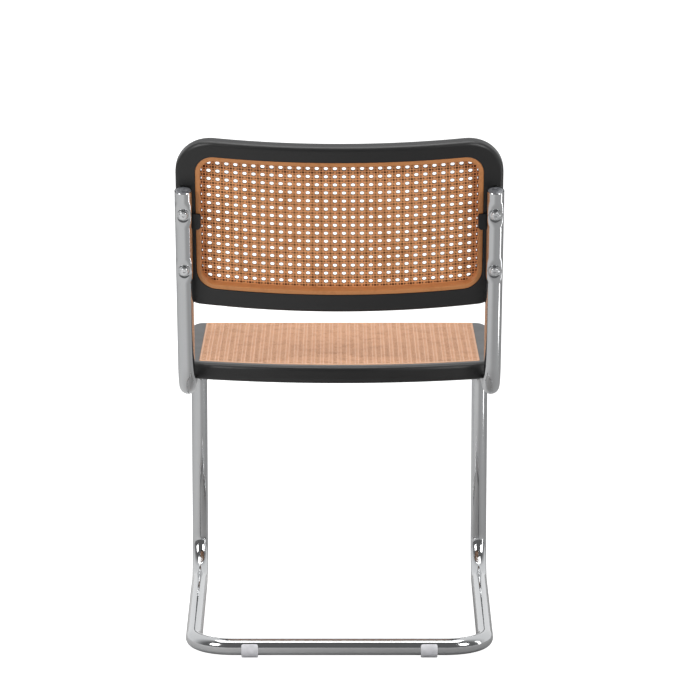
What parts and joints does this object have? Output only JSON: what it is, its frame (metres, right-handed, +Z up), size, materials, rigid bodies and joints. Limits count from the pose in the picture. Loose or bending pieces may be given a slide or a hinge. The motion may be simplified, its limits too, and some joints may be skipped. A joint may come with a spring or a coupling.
{
  "type": "cantilever dining chair",
  "caption": "Cantilever dining chair: bent chromed tube frame with a floor bridge, black rounded back and seat frames, and cane-look panels let into both.",
  "frame": {"origin": "on the floor, in the middle of the chair's overall width and depth", "axes": "+Z up, +X to the side (left parts lie at negative X), -Y towards the front of the seat, +Y towards the back"},
  "size_m": [0.475, 0.5626, 0.7748],
  "materials": {
    "chrome_tube": "polished",
    "cap_plastic": "glossy",
    "pale_plastic": "satin",
    "screw_steel": "zinc plated",
    "screw_chrome": "polished",
    "insert_steel": "zinc plated",
    "black_frame": "black lacquer, soft lustre",
    "dowel_wood": "raw beech",
    "back_cane": "moulded, cane look",
    "seat_cane": "moulded, cane look",
    "clip_plastic": "black"
  },
  "bodies": {
    "root": {"side_tube_left": "chrome_tube", "side_tube_right": "chrome_tube", "floor_bridge": "chrome_tube", "post_cap_left": "cap_plastic", "post_cap_right": "cap_plastic", "rear_glide_left": "pale_plastic", "rear_glide_right": "pale_plastic", "front_glides": "pale_plastic", "bridge_screws": "screw_steel", "back_screws": "screw_chrome", "seat_screws": "screw_steel", "back_inserts": "insert_steel", "back_top_rail": "black_frame", "back_bottom_rail": "black_frame", "back_stile_left": "black_frame", "back_stile_right": "black_frame", "seat_rear_rail": "black_frame", "seat_front_rail": "black_frame", "seat_side_rail_left": "black_frame", "seat_side_rail_right": "black_frame", "back_dowels": "dowel_wood", "seat_dowels": "dowel_wood", "back_cane_panel": "back_cane", "seat_cane_panel": "seat_cane", "panel_clips": "clip_plastic", "seat_pads": "clip_plastic"}
  },
  "joints": []
}
